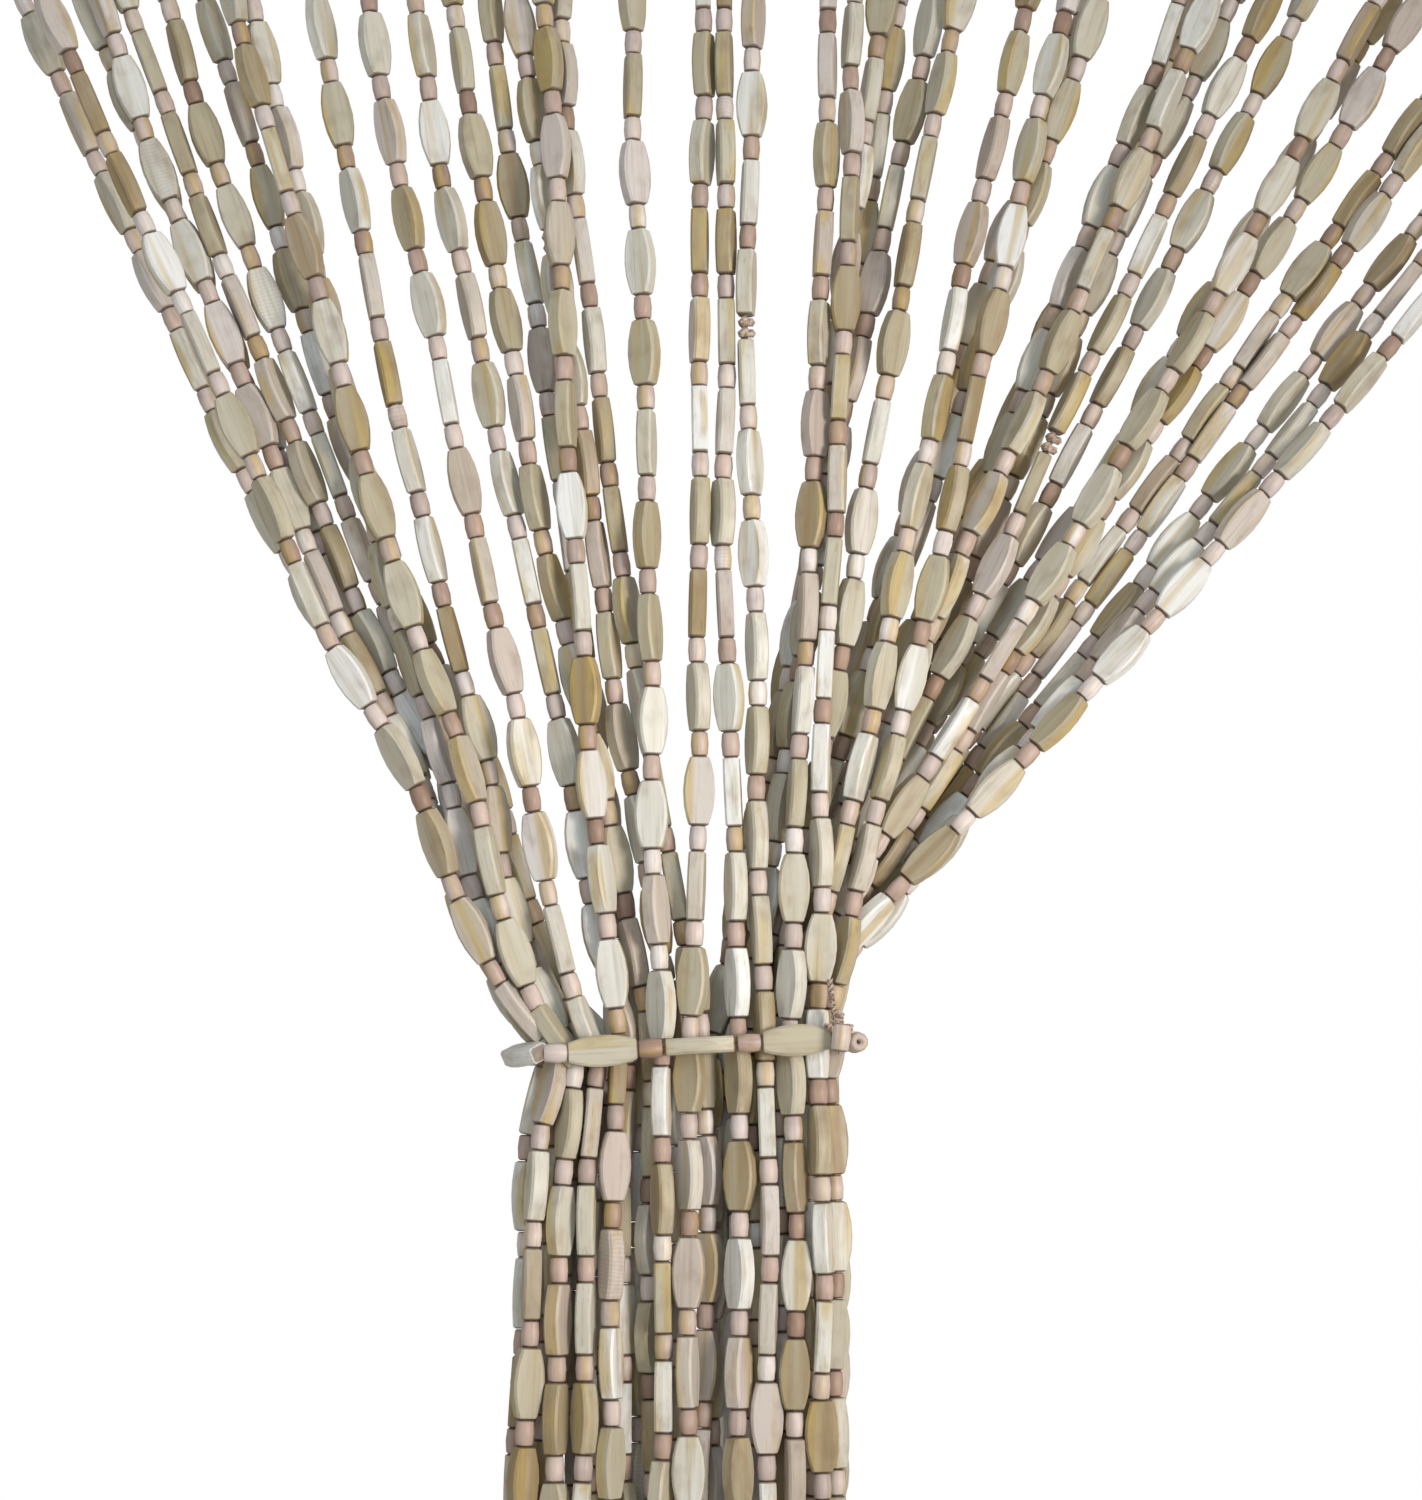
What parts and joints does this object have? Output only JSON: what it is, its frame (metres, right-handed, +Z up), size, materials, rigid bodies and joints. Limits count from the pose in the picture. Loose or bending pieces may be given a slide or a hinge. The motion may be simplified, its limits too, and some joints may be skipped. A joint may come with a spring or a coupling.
{
  "type": "bead curtain",
  "caption": "Door curtain of threaded wooden beads on strings hung from a batten, drawn into a bundle by a string of beads.",
  "frame": {"origin": "middle of the heading batten's top edge, where the curtain is held", "axes": "+X to the right along the heading as seen from the front, +Y away from the viewer, +Z up"},
  "size_m": [0.92, 0.0634, 1.8533],
  "materials": {
    "batten_wood": "satin, plain planed wood",
    "bead_wood": "satin, pale polished wooden beads, cream to tan and grey-brown",
    "tie_wood": "satin, pale polished wooden beads on a cotton string"
  },
  "bodies": {
    "root": {"heading": "batten_wood", "strands": "bead_wood", "tie": "tie_wood"}
  },
  "joints": []
}
